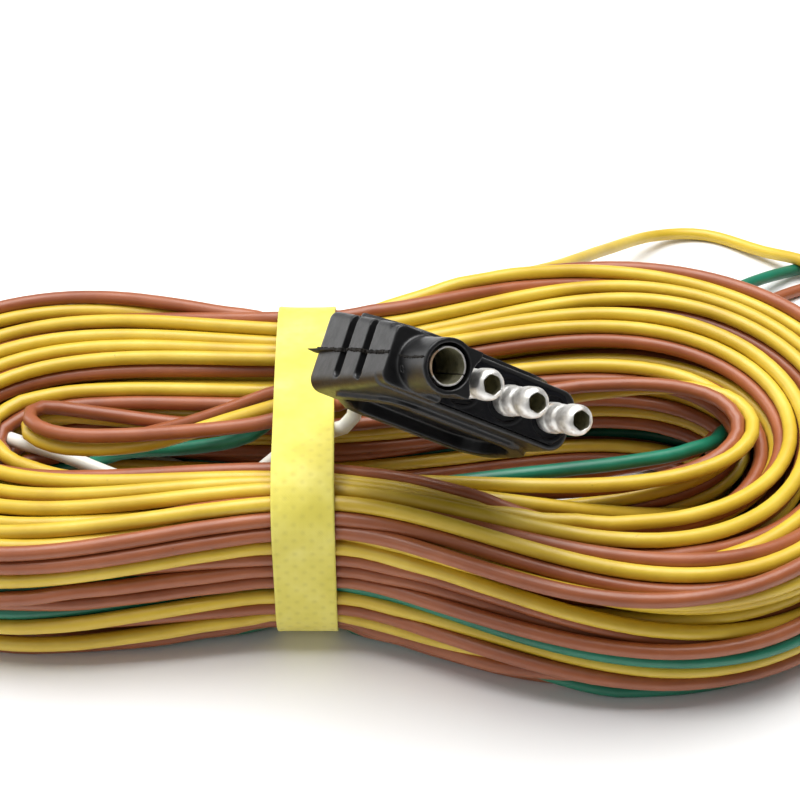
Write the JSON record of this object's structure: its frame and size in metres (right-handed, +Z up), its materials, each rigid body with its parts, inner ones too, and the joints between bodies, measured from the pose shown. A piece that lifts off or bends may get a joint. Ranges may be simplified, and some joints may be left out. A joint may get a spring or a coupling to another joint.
{
  "type": "trailer wiring connector",
  "caption": "Flat moulded four-way trailer plug with three bullet pins and one shrouded socket, on its own tied hank of bonded wire.",
  "frame": {"origin": "on the floor under the middle of the hank of wire", "axes": "+Z up; +X along the hank, towards its loose wire ends; +Y away from the side that the connector faces"},
  "size_m": [0.217, 0.1402, 0.071],
  "materials": {
    "housing": "satin black moulded PVC with a raised parting line",
    "insert": "smooth black moulded plastic",
    "tinned_contact": "tin-plated brass, drawn and rolled",
    "copper_strand": "bare stranded copper",
    "yellow_insulation": "satin extruded PVC insulation",
    "brown_insulation": "satin extruded PVC insulation",
    "green_insulation": "satin extruded PVC insulation",
    "white_insulation": "satin extruded PVC insulation",
    "tie_webbing": "pale woven tape with a dimpled face"
  },
  "bodies": {
    "root": {"housing": "housing", "terminal_insert": "insert", "socket_contact": "tinned_contact", "brown_pin": "tinned_contact", "yellow_pin": "tinned_contact", "green_pin": "tinned_contact", "white_conductor": "copper_strand", "brown_left_conductor": "copper_strand", "brown_right_conductor": "copper_strand", "yellow_conductor": "copper_strand", "green_conductor": "copper_strand", "white_lead": "white_insulation", "brown_left_lead": "brown_insulation", "brown_right_lead": "brown_insulation", "yellow_lead": "yellow_insulation", "green_lead": "green_insulation", "wire_hank": "yellow_insulation", "tie_strap": "tie_webbing", "yellow_tail": "yellow_insulation", "green_tail": "green_insulation", "brown_right_tail": "brown_insulation", "brown_left_tail": "brown_insulation", "yellow_bare_end": "copper_strand", "green_bare_end": "copper_strand", "brown_right_bare_end": "copper_strand", "brown_left_bare_end": "copper_strand"}
  },
  "joints": []
}
